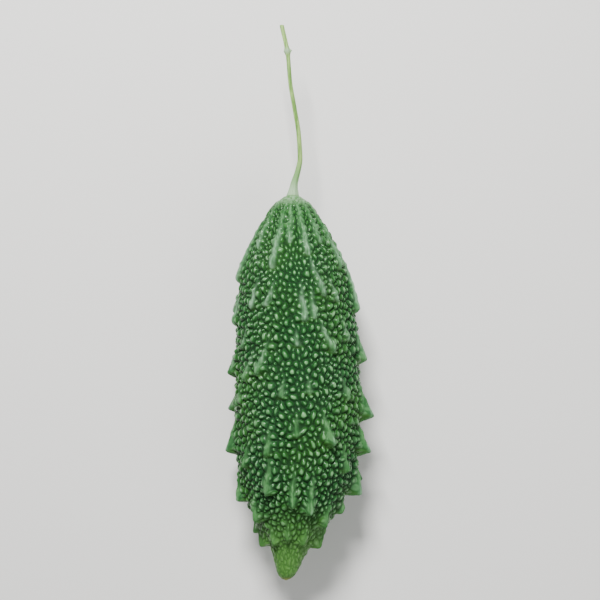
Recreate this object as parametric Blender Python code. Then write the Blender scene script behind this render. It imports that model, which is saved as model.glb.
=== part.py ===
"""A bitter gourd as picked, lying on its side with its stalk on.

Metres, +Z up. The fruit lies along Y, with its blossom tip towards -Y and its stalk towards +Y.
The origin is under the middle of the box round both. The fruit rests at z = 0 on the tips of its
lowest teeth, which are worn flat there.

A place on the fruit's skin is (turn, along): turn is the angle round the axis, and along is the
distance from the blossom tip, measured along the axis.
"""

import math
import random
from collections import namedtuple

import bmesh
import bpy
from mathutils import Vector, geometry

MM = 0.001
TURN = 2 * math.pi

# The fruit without its warts and teeth. Shares of its length run from the blossom tip to the stalk.
FRUIT_LENGTH = 180 * MM
FAT_SHARE = 0.44
FAT_RADIUS = 27.6 * MM
RADIUS_SHARES = (
    (0, 0), (0.006, 0.085), (0.02, 0.155), (0.05, 0.225), (0.09, 0.33), (0.14, 0.53), (0.20, 0.745),
    (0.30, 0.945), (FAT_SHARE, 1.0), (0.60, 0.985), (0.70, 0.945), (0.78, 0.875), (0.86, 0.70),
    (0.94, 0.45), (0.98, 0.30), (1, 0.15),
)
TIP_CAP = 1.1 * MM

# How it lies: the height of its axis, and where on the fruit the origin is.
AXIS_HEIGHT = 29.6 * MM
ORIGIN_ALONG = 130.705 * MM
ORIGIN_SIDE = 3.543 * MM

# What keeps it from being a turned shape. A wave is (size, waves round the fruit, phase, radians along it).
SIDE_BOW = 2.2 * MM
TIP_SIDE_BEND = -3.0 * MM
BEND_SHARE = 0.35
LOBES = ((0.022, 2, 2, 0), (0.016, 3, 0, 5))

# Ridges run from the stalk to the tip and are broken into teeth that point at the tip. The teeth of
# the upper half are set one by one: degrees from straight up towards +X, the peak's share of the
# length, the rise and the height in millimetres, and the degrees that the crest swings over its rise.
UPPER_TEETH = (
    (-83, 0.78, 38, 4.2, 8), (-86, 0.667, 19, 3.8, 3), (-88, 0.54, 14, 5.6, 6), (-85, 0.343, 20, 6.8, 2),
    (-80, 0.222, 15, 5.8, -3), (-84, 0.105, 12, 4.6, 0), (-70, 0.455, 13, 3.4, 8), (-62, 0.60, 12, 2.6, 6),
    (81, 0.70, 52, 4.4, -12), (84, 0.574, 21, 5.8, -8), (87, 0.432, 19, 8.2, -8), (83, 0.343, 15, 7.8, -6),
    (85, 0.243, 17, 7.6, -4), (79, 0.186, 9, 4.0, -3), (80, 0.10, 12, 4.6, 0), (62, 0.81, 32, 3.0, -4),
    (-26, 0.804, 33, 3.6, 6), (16, 0.838, 27, 2.9, -4), (29, 0.732, 17, 3.2, -12), (8, 0.665, 18, 3.4, -3),
    (17, 0.672, 14, 3.0, -1), (-30, 0.704, 11, 2.6, 8), (35, 0.591, 15, 4.2, -14), (0, 0.598, 8, 2.2, 0),
    (-38, 0.533, 16, 4.2, 12), (-55, 0.52, 13, 4.0, 10), (33, 0.36, 15, 6.8, -9), (0, 0.373, 12, 2.8, 0),
    (-28, 0.328, 15, 3.8, 3), (-29, 0.238, 17, 5.0, 4), (-2, 0.204, 18, 4.6, 0), (20, 0.19, 18, 5.4, -1),
    (46, 0.72, 10, 2.6, -8), (55, 0.47, 12, 3.2, -8), (56, 0.29, 12, 4.2, -4), (-55, 0.17, 13, 4.6, 3),
    (-56, 0.30, 12, 3.8, 4), (52, 0.155, 12, 4.4, -2), (-7, 0.868, 22, 2.0, 2), (38, 0.872, 21, 2.0, -3),
    (-56, 0.86, 23, 2.3, 4), (-50, 0.70, 14, 2.4, 6), (58, 0.62, 12, 2.8, -8), (-14, 0.47, 10, 2.4, 2),
    (12, 0.48, 9, 2.2, -2), (-8, 0.115, 9, 2.6, 0), (28, 0.105, 9, 3.0, 0), (-40, 0.105, 9, 3.2, 0),
)
FALL_BASE = 0.8 * MM
FALL_PER_HEIGHT = 0.48

# The teeth of the lower half are drawn along six of thirteen evenly spaced ridges.
RIDGES = 13
RIDGE_STEP = TURN / RIDGES
FIRST_RIDGE = -TURN / 4 + RIDGE_STEP / 2
LOWER_RIDGES = (0, 1, 2, 10, 11, 12)
RIDGE_WANDER = 0.1
TOOTH_SWING = 0.12
TOOTH_SEED = 1281
TOOTH_HEIGHTS = (
    (0, 0.4 * MM), (0.07, 0.8 * MM), (0.1, 4.8 * MM), (0.13, 6.6 * MM), (0.18, 7.2 * MM), (0.34, 7.2 * MM),
    (0.46, 6.4 * MM), (0.6, 5.4 * MM), (0.72, 4.4 * MM), (0.86, 3.0 * MM), (0.95, 1.6 * MM), (1, 0.6 * MM),
)
TOOTH_PITCHES = (
    (0, 9 * MM), (0.1, 13 * MM), (0.3, 19 * MM), (0.6, 24 * MM), (0.85, 26 * MM), (1, 22 * MM),
)
TOP_MARGIN = 1.5 * MM
TOP_REACH = (1.1, 2.1)
REACH_SPREAD = (0.85, 1.15)
GAP_SPREAD = (0.3, 1.0)
RISE_SHARES = (0.55, 0.78)
RISE_SHAPES = ((0, 1.5), (0.6, 1.4), (0.78, 0.85), (0.84, 0.6), (1, 0.5))
HEIGHT_SPREAD = (0.6, 1.2)
STUNTED_CHANCE = 0.3
STUNTED = 0.35
LAST_TOOTH_SHARE = 0.06
TOOTH_LEAN = 0.27
CREST_ROUNDING = 0.5 * MM
FLANK_WIDTH = 1.0 * MM
FLANK_GROWTH = 0.16
BARE_FIN = 2.3 * MM
CREST_STEP = 4.6 * MM

# Warts cover the skin between the teeth. They are smaller and longer towards both ends.
WART_SEED = 5
WART_DARTS = 60000
BARE_TIP = 2 * MM
BARE_RIM = 1.5 * MM
WART_PITCHES = (
    (0, 1.5 * MM), (0.08, 1.9 * MM), (0.2, 2.6 * MM), (0.35, 3.1 * MM), (0.65, 3.1 * MM),
    (0.85, 2.4 * MM), (0.95, 1.7 * MM), (1, 1.4 * MM),
)
WART_STRETCHES = ((0, 1.8), (0.12, 1.5), (0.25, 1.1), (0.72, 1.1), (0.88, 1.6), (1, 2.3))
WART_HEIGHT_PER_PITCH = 0.55
WART_SPREAD = (0.8, 1.2)
TABLE_STEPS = 720

# The socket that the stalk is rooted in, and the stalk.
SOCKET_RADIUS = 2.5 * MM
SOCKET_DEPTH = 2.4 * MM
TOUCH_GAP = 0.3 * MM
STALK_SIDES = 10
STALK_STEP = 3 * MM
STALK_RIB = 0.07
STALK_RIBS = 5
STALK_LENGTH = 81 * MM
STALK_ASIDE = (
    (0, 0), (6 * MM, 0.7 * MM), (12 * MM, 2.4 * MM), (18 * MM, 3.5 * MM), (29 * MM, 2.9 * MM),
    (42 * MM, 0.8 * MM), (54 * MM, -1.2 * MM), (67 * MM, -2.3 * MM), (STALK_LENGTH, -5.2 * MM),
)
STALK_RISE = (
    (0, 0), (6 * MM, 0.3 * MM), (12 * MM, 1.0 * MM), (18 * MM, 2.0 * MM), (29 * MM, 4.0 * MM),
    (42 * MM, 6.2 * MM), (54 * MM, 7.8 * MM), (67 * MM, 8.8 * MM), (STALK_LENGTH, 9.2 * MM),
)
COLLAR_RADIUS = 3.1 * MM
COLLAR_RINGS = (0, 1 * MM, 4.5 * MM)
JOINT_MARK = 68.5 * MM
STALK_RADII = (
    (0, COLLAR_RADIUS), (2 * MM, 2.5 * MM), (5 * MM, 1.85 * MM), (11 * MM, 1.35 * MM), (22 * MM, 1.1 * MM),
    (62 * MM, 0.95 * MM), (66 * MM, 1.0 * MM), (JOINT_MARK, 1.5 * MM), (71 * MM, 1.0 * MM),
    (STALK_LENGTH, 0.98 * MM),
)

FRUIT_COLOR = (0.035, 0.13, 0.03, 1)
STALK_COLOR = (0.22, 0.36, 0.12, 1)
SKIN_ROUGHNESS = 0.42
STALK_ROUGHNESS = 0.6

Tooth = namedtuple("Tooth", "turn swing peak rise fall height")
Wart = namedtuple("Wart", "turn along height")


def smooth_through(pairs):
    """A function whose smooth curve passes through the pairs and never swings past them."""
    xs, ys = zip(*pairs)
    slopes = [(ys[i + 1] - ys[i]) / (xs[i + 1] - xs[i]) for i in range(len(xs) - 1)]
    middle = [2 * a * b / (a + b) if a * b > 0 else 0.0 for a, b in zip(slopes, slopes[1:])]
    tangents = [slopes[0], *middle, slopes[-1]]

    def at(x):
        x = min(max(x, xs[0]), xs[-1])
        i = next((n for n in range(len(slopes)) if x <= xs[n + 1]), len(slopes) - 1)
        width = xs[i + 1] - xs[i]
        t = (x - xs[i]) / width
        return (
            (1 + 2 * t) * (1 - t) ** 2 * ys[i]
            + t * (1 - t) ** 2 * width * tangents[i]
            + t * t * (3 - 2 * t) * ys[i + 1]
            + t * t * (t - 1) * width * tangents[i + 1]
        )

    return at


radius_share = smooth_through(RADIUS_SHARES)
tooth_height = smooth_through(TOOTH_HEIGHTS)
tooth_pitch = smooth_through(TOOTH_PITCHES)
rise_shape = smooth_through(RISE_SHAPES)
wart_pitch = smooth_through(WART_PITCHES)
wart_stretch = smooth_through(WART_STRETCHES)


def radius(along):
    return FAT_RADIUS * radius_share(along / FRUIT_LENGTH)


def centre(along):
    """The middle of the fruit's cross-section."""
    share = along / FRUIT_LENGTH
    bend = max(0.0, 1 - share / BEND_SHARE) ** 2
    side = SIDE_BOW * math.sin(math.pi * share) + TIP_SIDE_BEND * bend
    return Vector((side - ORIGIN_SIDE, along - ORIGIN_ALONG, AXIS_HEIGHT))


def slope(along, reach=0.3 * MM):
    """How fast the radius grows along the axis."""
    low, high = max(along - reach, 0.0), min(along + reach, FRUIT_LENGTH)
    return (radius(high) - radius(low)) / (high - low)


def fall_of(height):
    """The length of a tooth's drop on its tip side."""
    return FALL_BASE + FALL_PER_HEIGHT * height


def lay_teeth():
    """Every tooth. Those of the lower ridges are drawn from the stalk down to the tip."""
    teeth = []
    for degrees, share, rise, height, swing in UPPER_TEETH:
        turn, swing = TURN / 4 - math.radians(degrees), -math.radians(swing)
        height *= MM
        teeth.append(Tooth(turn, swing, share * FRUIT_LENGTH, rise * MM, fall_of(height), height))
    draw = random.Random(TOOTH_SEED)
    for number in LOWER_RIDGES:
        top = FRUIT_LENGTH - TOP_MARGIN
        reach = draw.uniform(*TOP_REACH)
        while True:
            pitch = tooth_pitch(top / FRUIT_LENGTH) * reach
            rise = pitch * draw.uniform(*RISE_SHARES)
            peak = top - rise
            height = tooth_height(peak / FRUIT_LENGTH) * draw.uniform(*HEIGHT_SPREAD)
            if draw.random() < STUNTED_CHANCE:
                height *= STUNTED
            fall = fall_of(height)
            if peak - fall < LAST_TOOTH_SHARE * FRUIT_LENGTH:
                break
            wander, swing = draw.gauss(0, RIDGE_WANDER), draw.gauss(0, TOOTH_SWING)
            # The first ridge stays straight, because the skin is cut open along it when it is laid flat
            if number == 0:
                wander = swing = 0.0
            turn = FIRST_RIDGE + number * RIDGE_STEP + wander
            teeth.append(Tooth(turn, swing, peak, rise, fall, height))
            top = peak - fall - max(0.0, pitch - rise - fall) * draw.uniform(*GAP_SPREAD)
            reach = draw.uniform(*REACH_SPREAD)
    return teeth


def crest_turn(tooth, along):
    """Where a tooth's crest line is at a distance along the fruit."""
    return tooth.turn + tooth.swing * (along - tooth.peak) / tooth.rise


def crest(tooth, along):
    """The height of a tooth's crest. It rises slowly from the stalk's side and drops at its peak."""
    behind = (along - tooth.peak) / tooth.rise
    ahead = (tooth.peak - along) / tooth.fall
    if 0 <= behind < 1:
        return tooth.height * (1 - behind) ** rise_shape(tooth.peak / FRUIT_LENGTH)
    if 0 < ahead < 1:
        return tooth.height * (1 - ahead)
    return 0.0


def fin(teeth, turn, along):
    """The height of the teeth over a place, with concave flanks that run out into the skin."""
    best = 0.0
    for tooth in teeth:
        height = crest(tooth, along)
        if height > 0:
            away = (turn - crest_turn(tooth, along) + TURN / 2) % TURN - TURN / 2
            side = math.hypot(away * radius(along), CREST_ROUNDING) - CREST_ROUNDING
            best = max(best, height * math.exp(-side / (FLANK_WIDTH + FLANK_GROWTH * height)))
    return best


def waves(terms, turn, share):
    """The sum of waves that run round the fruit and along it."""
    return sum(size * math.sin(count * turn + phase + drift * share) for size, count, phase, drift in terms)


def skin_point(teeth, turn, along, wart=0.0):
    """The point of the surface at a place, raised by its teeth and by a wart of the given height."""
    across = Vector((math.cos(turn), 0, math.sin(turn)))
    reach = radius(along) * (1 + waves(LOBES, turn, along / FRUIT_LENGTH))
    outward = (across - slope(along) * Vector((0, 1, 0))).normalized()
    raised = fin(teeth, turn, along)
    lean = Vector((0, -TOOTH_LEAN * raised, 0))
    return centre(along) + across * reach + outward * (raised + wart) + lean


def measure():
    """Tables along the fruit: the flat map's height, the even map's length, and the area in wart pitches."""
    step = FRUIT_LENGTH / TABLE_STEPS
    flat, even, crowd = [0.0], [0.0], [0.0]
    for n in range(TABLE_STEPS):
        along = (n + 0.5) * step
        share = along / FRUIT_LENGTH
        length = step * math.hypot(1, slope(along))
        pitch, stretch = wart_pitch(share), wart_stretch(share)
        flat.append(flat[-1] + length / (stretch * radius(along)))
        even.append(even[-1] + length / (stretch * pitch))
        crowd.append(crowd[-1] + length * radius(along) / (stretch * pitch ** 2))
    return flat, even, crowd


def read(table, along):
    place = min(max(along / FRUIT_LENGTH, 0.0), 1.0) * TABLE_STEPS
    low = min(int(place), TABLE_STEPS - 1)
    return table[low] + (table[low + 1] - table[low]) * (place - low)


def read_back(table, value):
    """The distance along the fruit at which a table holds a value."""
    low, high = 0, TABLE_STEPS
    while high - low > 1:
        middle = (low + high) // 2
        low, high = (middle, high) if table[middle] < value else (low, middle)
    return FRUIT_LENGTH * (low + (value - table[low]) / (table[high] - table[low])) / TABLE_STEPS


def even_point(even, turn, along):
    """The place on a spindle where neighbouring warts stand about 1 apart everywhere."""
    reach = radius(along) / wart_pitch(along / FRUIT_LENGTH)
    return Vector((reach * math.cos(turn), read(even, along), reach * math.sin(turn)))


def crest_places(tooth):
    """The places that a tooth's crest needs, from its stalk end to its tip end."""
    steps = max(2, round(tooth.rise / CREST_STEP))
    marks = [tooth.peak + tooth.rise * n / steps for n in range(steps, -1, -1)] + [tooth.peak - tooth.fall]
    return [(crest_turn(tooth, along), along) for along in marks]


def throw_warts(teeth, even, crowd):
    """Warts thrown at random, kept where they are clear of the others and of the teeth's crests."""
    draw = random.Random(WART_SEED)
    cells = {}

    def key(point):
        return tuple(math.floor(c) for c in point)

    def clear(point):
        x, y, z = key(point)
        return all(
            (other - point).length_squared >= 1
            for i in (-1, 0, 1) for j in (-1, 0, 1) for k in (-1, 0, 1)
            for other in cells.get((x + i, y + j, z + k), ())
        )

    for tooth in teeth:
        for place in crest_places(tooth):
            point = even_point(even, *place)
            cells.setdefault(key(point), []).append(point)
    warts = []
    for _ in range(WART_DARTS):
        along = read_back(crowd, draw.random() * crowd[-1])
        turn = FIRST_RIDGE + draw.random() * TURN
        spread = draw.uniform(*WART_SPREAD)
        point = even_point(even, turn, along)
        if not BARE_TIP < along < FRUIT_LENGTH - BARE_RIM or not clear(point):
            continue
        if fin(teeth, turn, along) > BARE_FIN:
            continue
        cells.setdefault(key(point), []).append(point)
        height = WART_HEIGHT_PER_PITCH * wart_pitch(along / FRUIT_LENGTH) * spread
        warts.append(Wart(turn, along, height))
    return warts


def net_of(teeth, warts, flat):
    """Warts and crests joined into triangles on the skin laid flat, cut open along the first ridge.

    Returns the places as (turn, along, wart height), the triangles, and the pairs along crests."""
    places, crests = [], []

    def add(turn, along, height=0.0):
        places.append((turn, along, height))
        return len(places) - 1

    for number in range(RIDGES):
        turn = FIRST_RIDGE + number * RIDGE_STEP
        add(turn, TIP_CAP)
        add(turn, FRUIT_LENGTH)
    for tooth in teeth:
        row = [add(FIRST_RIDGE + (turn - FIRST_RIDGE) % TURN, along) for turn, along in crest_places(tooth)]
        crests += zip(row, row[1:])
    on_seam = [n for n, place in enumerate(places) if place[0] == FIRST_RIDGE]
    seam = {add(FIRST_RIDGE + TURN, places[n][1]): n for n in on_seam}
    for wart in warts:
        add(*wart)
    flat_points = [Vector((turn, read(flat, along))) for turn, along, _ in places]
    twin = {n: copy for copy, n in seam.items()}
    held = crests + [(twin[a], twin[b]) for a, b in crests if a in twin and b in twin]
    _, _, faces, sources, *_ = geometry.delaunay_2d_cdt(flat_points, held, [], 0, 1e-7, True)
    first = [source[0] for source in sources]
    triangles = [tuple(seam.get(first[n], first[n]) for n in face) for face in faces]
    return places, triangles, {frozenset(pair) for pair in crests}


def build_fruit():
    teeth = lay_teeth()
    flat, even, crowd = measure()
    warts = throw_warts(teeth, even, crowd)
    places, triangles, crests = net_of(teeth, warts, flat)
    bm = bmesh.new()
    used = sorted({n for triangle in triangles for n in triangle})
    tops = {n: bm.verts.new(skin_point(teeth, *places[n])) for n in used}

    # A groove point in the middle of each triangle, so that every wart becomes a small cone
    beside = {}
    for triangle in triangles:
        corners = [places[n] for n in triangle]
        turns = [corners[0][0] + (c[0] - corners[0][0] + TURN / 2) % TURN - TURN / 2 for c in corners]
        height = sum(read(flat, c[1]) for c in corners) / 3
        groove = bm.verts.new(skin_point(teeth, sum(turns) / 3, read_back(flat, height)))
        for a, b in zip(triangle, triangle[1:] + triangle[:1]):
            beside[a, b] = groove
    for (a, b), left in beside.items():
        right = beside.get((b, a))
        if right is None or frozenset((a, b)) in crests:
            bm.faces.new((tops[a], tops[b], left))
        elif a < b:
            bm.faces.new((tops[a], right, left))
            bm.faces.new((tops[b], left, right))

    close_ends(bm, tops, beside)
    wear_flat(bm)
    finish_mesh(bm, "fruit", material("gourd_skin", FRUIT_COLOR, SKIN_ROUGHNESS))


def close_ends(bm, tops, beside):
    """Closes the tip with a point, and sinks a socket for the stalk into the other end."""
    tip = bm.verts.new(centre(0))
    open_edges = [(a, b) for a, b in beside if (b, a) not in beside]
    middle = centre(FRUIT_LENGTH)
    rim, floor = {}, {}
    for a, b in open_edges:
        if tops[a].co.y < middle.y - FRUIT_LENGTH / 2:
            bm.faces.new((tops[b], tops[a], tip))
            continue
        for n in (a, b):
            if n not in rim:
                out = (tops[n].co - middle).normalized() * SOCKET_RADIUS
                rim[n] = bm.verts.new(Vector((middle.x + out.x, middle.y, middle.z + out.z)))
                floor[n] = bm.verts.new(rim[n].co - Vector((0, SOCKET_DEPTH, 0)))
        bm.faces.new((tops[b], tops[a], rim[a], rim[b]))
        bm.faces.new((rim[b], rim[a], floor[a], floor[b]))
    hub = bm.verts.new(middle - Vector((0, SOCKET_DEPTH, 0)))
    for a, b in open_edges:
        if a in floor:
            bm.faces.new((floor[b], floor[a], hub))


def wear_flat(bm):
    """Cuts off what would be below the surface that the fruit lies on."""
    everything = [*bm.verts, *bm.edges, *bm.faces]
    cut = bmesh.ops.bisect_plane(
        bm, geom=everything, dist=1e-7, plane_co=(0, 0, 0), plane_no=(0, 0, -1), clear_outer=True
    )
    loops = [e for e in cut["geom_cut"] if isinstance(e, bmesh.types.BMEdge)]
    filled = bmesh.ops.edgenet_fill(bm, edges=loops)
    bmesh.ops.triangulate(bm, faces=filled["faces"])


def build_stalk():
    """A ribbed stalk: a root in the socket, a collar over its rim, a small joint, and a cut end."""
    neck = centre(FRUIT_LENGTH)
    aside = smooth_through(STALK_ASIDE)
    rise = smooth_through(STALK_RISE)
    thick = smooth_through(STALK_RADII)

    def middle(mark):
        return neck + Vector((aside(mark), mark + TOUCH_GAP, rise(mark)))

    steps = round(STALK_LENGTH / STALK_STEP)
    marks = {*COLLAR_RINGS, JOINT_MARK, *(STALK_LENGTH * n / steps for n in range(1, steps + 1))}
    straight = Vector((0, 1, 0))
    root = neck + (TOUCH_GAP - SOCKET_DEPTH) * straight
    rings = [(end, straight, SOCKET_RADIUS - TOUCH_GAP, 0) for end in (root, middle(0))]
    for mark in sorted(marks):
        ahead = (middle(mark + MM) - middle(mark - MM)).normalized()
        rings.append((middle(mark), ahead, thick(mark), STALK_RIB))
    bm = bmesh.new()
    loops = [ribbed_ring(bm, *ring) for ring in rings]
    for near, far in zip(loops, loops[1:]):
        for n in range(STALK_SIDES):
            m = (n + 1) % STALK_SIDES
            bm.faces.new((near[n], near[m], far[m], far[n]))
    bm.faces.new(loops[0])
    bm.faces.new(loops[-1])
    finish_mesh(bm, "stalk", material("gourd_stalk", STALK_COLOR, STALK_ROUGHNESS))


def ribbed_ring(bm, middle, ahead, size, rib):
    across = (Vector((1, 0, 0)) - ahead * ahead.x).normalized()
    up = across.cross(ahead)
    ring = []
    for n in range(STALK_SIDES):
        angle = TURN * n / STALK_SIDES
        out = size * (1 + rib * math.cos(STALK_RIBS * angle))
        ring.append(bm.verts.new(middle + (across * math.cos(angle) + up * math.sin(angle)) * out))
    return ring


def material(name, color, roughness):
    made = bpy.data.materials.new(name)
    made.use_nodes = True
    shader = made.node_tree.nodes["Principled BSDF"]
    shader.inputs["Base Color"].default_value = color
    shader.inputs["Roughness"].default_value = roughness
    shader.inputs["Metallic"].default_value = 0.0
    return made


def finish_mesh(bm, name, finish):
    bmesh.ops.triangulate(bm, faces=bm.faces)
    bmesh.ops.recalc_face_normals(bm, faces=bm.faces)
    mesh = bpy.data.meshes.new(name)
    bm.to_mesh(mesh)
    bm.free()
    mesh.shade_smooth()
    mesh.materials.append(finish)
    bpy.context.scene.collection.objects.link(bpy.data.objects.new(name, mesh))


def main():
    for old in list(bpy.data.objects):
        bpy.data.objects.remove(old)
    build_fruit()
    build_stalk()


main()
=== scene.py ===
"""A bitter gourd as picked, lying on its side with its stalk on, in full detail.

Metres, +Z up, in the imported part's frame. A place on the fruit's skin is (turn, along): turn is the
angle round the axis, and along is the distance from the blossom tip, measured along the axis.
"""

import math
import random
from collections import namedtuple

import bpy
import numpy as np
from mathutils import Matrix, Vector, kdtree


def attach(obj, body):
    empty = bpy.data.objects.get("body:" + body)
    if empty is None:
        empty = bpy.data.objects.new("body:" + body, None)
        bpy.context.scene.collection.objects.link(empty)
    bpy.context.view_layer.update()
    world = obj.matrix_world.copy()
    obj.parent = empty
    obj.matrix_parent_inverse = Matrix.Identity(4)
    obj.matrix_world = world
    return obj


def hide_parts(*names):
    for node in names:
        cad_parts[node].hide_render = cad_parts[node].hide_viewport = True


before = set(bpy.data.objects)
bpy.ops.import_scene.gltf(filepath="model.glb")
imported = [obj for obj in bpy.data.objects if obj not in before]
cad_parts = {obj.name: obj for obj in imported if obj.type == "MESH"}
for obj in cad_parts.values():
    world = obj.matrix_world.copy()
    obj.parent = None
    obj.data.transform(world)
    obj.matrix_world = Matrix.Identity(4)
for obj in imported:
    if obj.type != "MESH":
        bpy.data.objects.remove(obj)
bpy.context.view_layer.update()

MM = 0.001
TURN = 2 * math.pi

# The fruit without its warts and teeth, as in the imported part. Where nothing else is said, a list of pairs
# gives values at shares of the fruit's length, counted from the tip, and a pair alone is a range.
FRUIT_LENGTH = 180 * MM
FAT_SHARE = 0.44
FAT_RADIUS = 27.6 * MM
RADIUS_SHARES = (
    (0, 0), (0.006, 0.085), (0.02, 0.155), (0.05, 0.225), (0.09, 0.33), (0.14, 0.53), (0.20, 0.745),
    (0.30, 0.945), (FAT_SHARE, 1.0), (0.60, 0.985), (0.70, 0.945), (0.78, 0.875), (0.86, 0.70),
    (0.94, 0.45), (0.98, 0.30), (1, 0.15),
)
SLOPE_REACH = 0.3 * MM
AXIS_HEIGHT = 29.6 * MM
ORIGIN_ALONG = 130.705 * MM
ORIGIN_SIDE = 3.543 * MM
SIDE_BOW = 2.2 * MM
TIP_SIDE_BEND = -3.0 * MM
BEND_SHARE = 0.35

# Waves of the cross-section, each by its size, its count, its start and its turn along the fruit
LOBES = ((0.022, 2, 2, 0), (0.016, 3, 0, 5))

# The teeth of the upper half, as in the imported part. Each is given by its angle from the top in degrees,
# its peak's share of the fruit's length, its ridge's length and its height in millimetres, and how many
# degrees its ridge swings.
UPPER_TEETH = (
    (-83, 0.78, 38, 4.2, 8), (-86, 0.667, 19, 3.8, 3), (-88, 0.54, 14, 5.6, 6), (-85, 0.343, 20, 6.8, 2),
    (-80, 0.222, 15, 5.8, -3), (-84, 0.105, 12, 4.6, 0), (-70, 0.455, 13, 3.4, 8), (-62, 0.60, 12, 2.6, 6),
    (81, 0.70, 52, 4.4, -12), (84, 0.574, 21, 5.8, -8), (87, 0.432, 19, 8.2, -8), (83, 0.343, 15, 7.8, -6),
    (85, 0.243, 17, 7.6, -4), (79, 0.186, 9, 4.0, -3), (80, 0.10, 12, 4.6, 0), (62, 0.81, 32, 3.0, -4),
    (-26, 0.804, 33, 3.6, 6), (16, 0.838, 27, 2.9, -4), (29, 0.732, 17, 3.2, -12), (8, 0.665, 18, 3.4, -3),
    (17, 0.672, 14, 3.0, -1), (-30, 0.704, 11, 2.6, 8), (35, 0.591, 15, 4.2, -14), (0, 0.598, 8, 2.2, 0),
    (-38, 0.533, 16, 4.2, 12), (-55, 0.52, 13, 4.0, 10), (33, 0.36, 15, 6.8, -9), (0, 0.373, 12, 2.8, 0),
    (-28, 0.328, 15, 3.8, 3), (-29, 0.238, 17, 5.0, 4), (-2, 0.204, 18, 4.6, 0), (20, 0.19, 18, 5.4, -1),
    (46, 0.72, 10, 2.6, -8), (55, 0.47, 12, 3.2, -8), (56, 0.29, 12, 4.2, -4), (-55, 0.17, 13, 4.6, 3),
    (-56, 0.30, 12, 3.8, 4), (52, 0.155, 12, 4.4, -2), (-7, 0.868, 22, 2.0, 2), (38, 0.872, 21, 2.0, -3),
    (-56, 0.86, 23, 2.3, 4), (-50, 0.70, 14, 2.4, 6), (58, 0.62, 12, 2.8, -8), (-14, 0.47, 10, 2.4, 2),
    (12, 0.48, 9, 2.2, -2), (-8, 0.115, 9, 2.6, 0), (28, 0.105, 9, 3.0, 0), (-40, 0.105, 9, 3.2, 0),
)
FALL_BASE = 0.8 * MM
FALL_PER_HEIGHT = 0.48

# The teeth of the lower half are drawn along six of thirteen evenly spaced ridges.
RIDGES = 13
RIDGE_STEP = TURN / RIDGES
FIRST_RIDGE = -TURN / 4 + RIDGE_STEP / 2
LOWER_RIDGES = (0, 1, 2, 10, 11, 12)
RIDGE_WANDER = 0.1
TOOTH_SWING = 0.12
TOOTH_SEED = 1281
TOOTH_HEIGHTS = (
    (0, 0.4 * MM), (0.07, 0.8 * MM), (0.1, 4.8 * MM), (0.13, 6.6 * MM), (0.18, 7.2 * MM), (0.34, 7.2 * MM),
    (0.46, 6.4 * MM), (0.6, 5.4 * MM), (0.72, 4.4 * MM), (0.86, 3.0 * MM), (0.95, 1.6 * MM), (1, 0.6 * MM),
)
TOOTH_PITCHES = (
    (0, 9 * MM), (0.1, 13 * MM), (0.3, 19 * MM), (0.6, 24 * MM), (0.85, 26 * MM), (1, 22 * MM),
)
TOP_MARGIN = 1.5 * MM
TOP_REACH = (1.1, 2.1)
REACH_SPREAD = (0.85, 1.15)
GAP_SPREAD = (0.3, 1.0)
RISE_SHARES = (0.55, 0.78)
HEIGHT_SPREAD = (0.6, 1.2)
STUNTED_CHANCE = 0.3
STUNTED = 0.35
LAST_TOOTH_SHARE = 0.06

# The form of every tooth
RISE_SHAPES = ((0, 1.5), (0.6, 1.4), (0.78, 0.85), (0.84, 0.6), (1, 0.5))
TOOTH_LEAN = 0.27
CREST_ROUNDING = 0.5 * MM
FLANK_WIDTH = 1.0 * MM
FLANK_GROWTH = 0.16
CREST_STEP = 4.6 * MM

# Where the warts are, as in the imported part: on skin that the teeth raise by BARE_FIN at most
WART_SEED = 5
WART_DARTS = 60000
WART_CLEARANCE = 1.0
BARE_TIP = 2 * MM
BARE_RIM = 1.5 * MM
BARE_FIN = 2.3 * MM
WART_PITCHES = (
    (0, 1.5 * MM), (0.08, 1.9 * MM), (0.2, 2.6 * MM), (0.35, 3.1 * MM), (0.65, 3.1 * MM),
    (0.85, 2.4 * MM), (0.95, 1.7 * MM), (1, 1.4 * MM),
)
WART_STRETCHES = ((0, 1.8), (0.12, 1.5), (0.25, 1.1), (0.72, 1.1), (0.88, 1.6), (1, 2.3))
WART_HEIGHT_PER_PITCH = 0.55
WART_SPREAD = (0.8, 1.2)
TABLE_STEPS = 720

# What the fine skin adds to the teeth: rounded tips, wavy crests and pale crest lines, which are partly a
# painted highlight. CREST_LINES gives a line's half width at a crest's height, and CREST_SHOWS the height
# from which a line shows in full.
TIP_ROUNDING = 2.4 * MM
TIP_ROUNDING_SHARE = 0.6
CREST_WAVE = 0.25 * MM
CREST_WAVE_LENGTH = 11 * MM
CREST_LINES = ((0, 0.5 * MM), (2.5 * MM, 1.25 * MM), (4 * MM, 1.1 * MM), (7 * MM, 0.65 * MM))
CREST_SHOWS = ((0, 2.0 * MM), (0.75, 1.8 * MM), (0.88, 0.8 * MM), (0.95, 0.2 * MM), (1, 0.1 * MM))
LEE_REACH = 0.25 * MM
STEEPEST_LEE = 1.5
TALL_TOOTH = 7 * MM

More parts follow.
